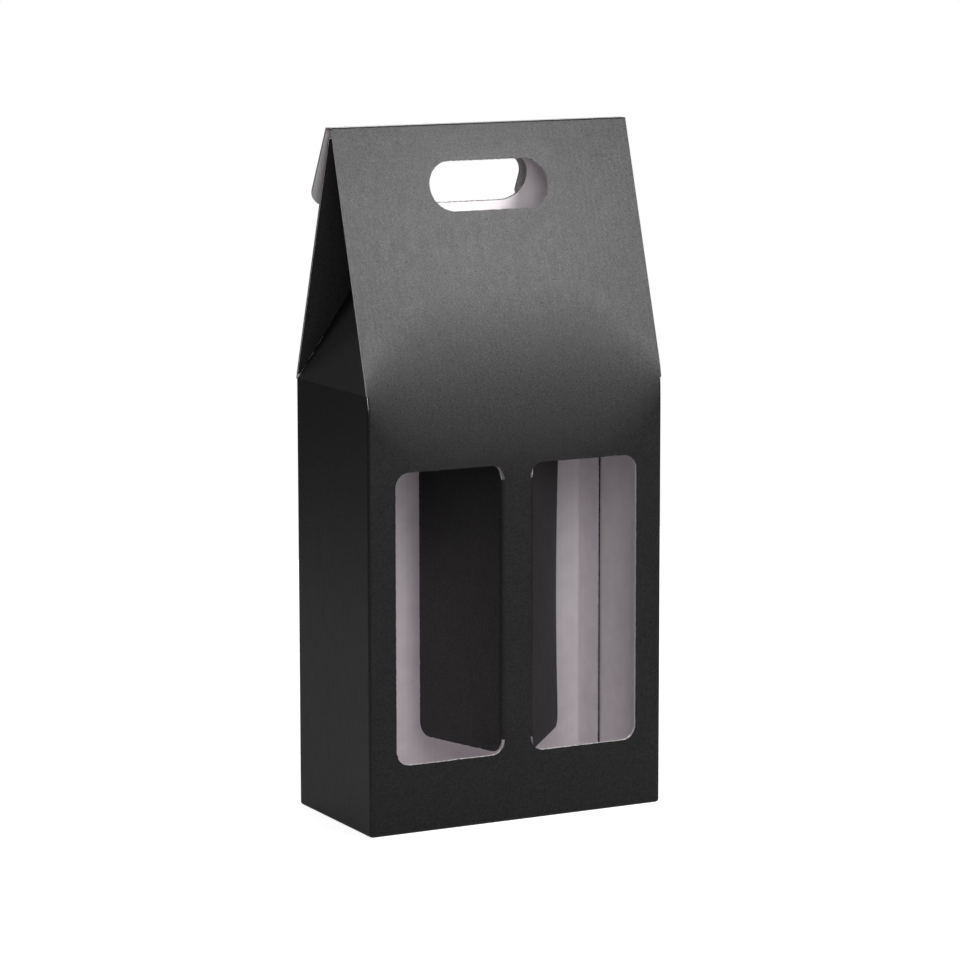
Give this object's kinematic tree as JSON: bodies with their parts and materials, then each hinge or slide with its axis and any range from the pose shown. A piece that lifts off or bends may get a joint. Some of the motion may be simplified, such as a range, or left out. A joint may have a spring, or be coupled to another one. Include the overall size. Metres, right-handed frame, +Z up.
{
  "type": "bottle carrier carton",
  "caption": "Gable-top carrier carton of corrugated board for two bottles, with front windows, fold-in dividers, hand holes, a closure flap and a locking bottom.",
  "frame": {"origin": "centre of the base on the surface that the carton stands on", "axes": "+Z up, +X to the right across the two windows, +Y to the back, away from the windows"},
  "size_m": [0.18, 0.09, 0.38],
  "materials": {
    "black_board": "black printed corrugated board with a satin lacquer",
    "grey_board": "uncoated light grey inner liner of the same board",
    "hot_melt": "translucent off-white hot-melt glue"
  },
  "bodies": {
    "box": {"front_panel": "black_board", "back_panel": "black_board", "left_side_panel": "black_board", "right_side_panel": "black_board", "glue_flap": "grey_board", "glue_dots": "hot_melt", "front_bottom_flap": "black_board", "back_bottom_flap": "black_board", "left_bottom_flap": "grey_board", "right_bottom_flap": "grey_board", "front_glue_tab": "black_board", "back_glue_tab": "black_board"},
    "front_slope": {"front_slope": "black_board"},
    "rear_slope": {"rear_slope": "black_board"},
    "ridge_strip": {"ridge_strip": "black_board"},
    "closure_flap": {"closure_flap": "black_board"},
    "left_gusset": {"left_gusset": "black_board"},
    "right_gusset": {"right_gusset": "black_board"},
    "front_left_wing": {"front_left_wing": "black_board"},
    "front_right_wing": {"front_right_wing": "black_board"},
    "rear_left_wing": {"rear_left_wing": "black_board"},
    "rear_right_wing": {"rear_right_wing": "black_board"},
    "left_divider_flap": {"left_divider_flap": "black_board"},
    "right_divider_flap": {"right_divider_flap": "black_board"}
  },
  "joints": [
    {"name": "front_slope_fold", "type": "hinge", "parent": "box", "child": "front_slope", "pos_m": [0, -0.045, 0.24], "axis": [1, 0, 0], "range_deg": [0, 13.7]},
    {"name": "rear_slope_fold", "type": "hinge", "parent": "box", "child": "rear_slope", "pos_m": [0, 0.045, 0.24], "axis": [-1, 0, 0], "range_deg": [0, 14.86]},
    {"name": "ridge_fold", "type": "hinge", "parent": "front_slope", "child": "ridge_strip", "pos_m": [0, -0.003, 0.38], "axis": [1, 0, 0], "range_deg": [0, 165]},
    {"name": "closure_flap_fold", "type": "hinge", "parent": "ridge_strip", "child": "closure_flap", "pos_m": [0, 0.0045, 0.38], "axis": [1, 0, 0], "range_deg": [-8, 150]},
    {"name": "left_gusset_fold", "type": "hinge", "parent": "box", "child": "left_gusset", "pos_m": [-0.09, 0, 0.24], "axis": [0, -1, 0], "range_deg": [0, 11.84]},
    {"name": "right_gusset_fold", "type": "hinge", "parent": "box", "child": "right_gusset", "pos_m": [0.09, 0, 0.24], "axis": [0, 1, 0], "range_deg": [0, 11.84]},
    {"name": "front_left_wing_fold", "type": "hinge", "parent": "front_slope", "child": "front_left_wing", "pos_m": [-0.09, -0.04312, 0.24], "axis": [0, 0.2873, 0.9578], "range_deg": [0, 36.7]},
    {"name": "front_right_wing_fold", "type": "hinge", "parent": "front_slope", "child": "front_right_wing", "pos_m": [0.09, -0.04312, 0.24], "axis": [0, -0.2873, -0.9578], "range_deg": [0, 36.7]},
    {"name": "rear_left_wing_fold", "type": "hinge", "parent": "rear_slope", "child": "rear_left_wing", "pos_m": [-0.09, 0.04311, 0.24], "axis": [0, 0.3067, -0.9518], "range_deg": [0, 39.45]},
    {"name": "rear_right_wing_fold", "type": "hinge", "parent": "rear_slope", "child": "rear_right_wing", "pos_m": [0.09, 0.04311, 0.24], "axis": [0, -0.3067, 0.9518], "range_deg": [0, 39.45]},
    {"name": "left_divider_fold", "type": "hinge", "parent": "box", "child": "left_divider_flap", "pos_m": [-0.0083, -0.0435, 0.118], "axis": [0, 0, -1], "range_deg": [-74, 16]},
    {"name": "right_divider_fold", "type": "hinge", "parent": "box", "child": "right_divider_flap", "pos_m": [0.0083, -0.0435, 0.118], "axis": [0, 0, 1], "range_deg": [-49, 41]}
  ],
  "couplings": [
    {"joint": "front_slope_fold", "follows": "ridge_fold", "ratio": 0.083},
    {"joint": "rear_slope_fold", "follows": "ridge_fold", "ratio": 0.09},
    {"joint": "left_gusset_fold", "follows": "ridge_fold", "ratio": 0.0717},
    {"joint": "right_gusset_fold", "follows": "ridge_fold", "ratio": 0.0717},
    {"joint": "front_left_wing_fold", "follows": "ridge_fold", "ratio": 0.2223},
    {"joint": "front_right_wing_fold", "follows": "ridge_fold", "ratio": 0.2223},
    {"joint": "rear_left_wing_fold", "follows": "ridge_fold", "ratio": 0.239},
    {"joint": "rear_right_wing_fold", "follows": "ridge_fold", "ratio": 0.239}
  ]
}
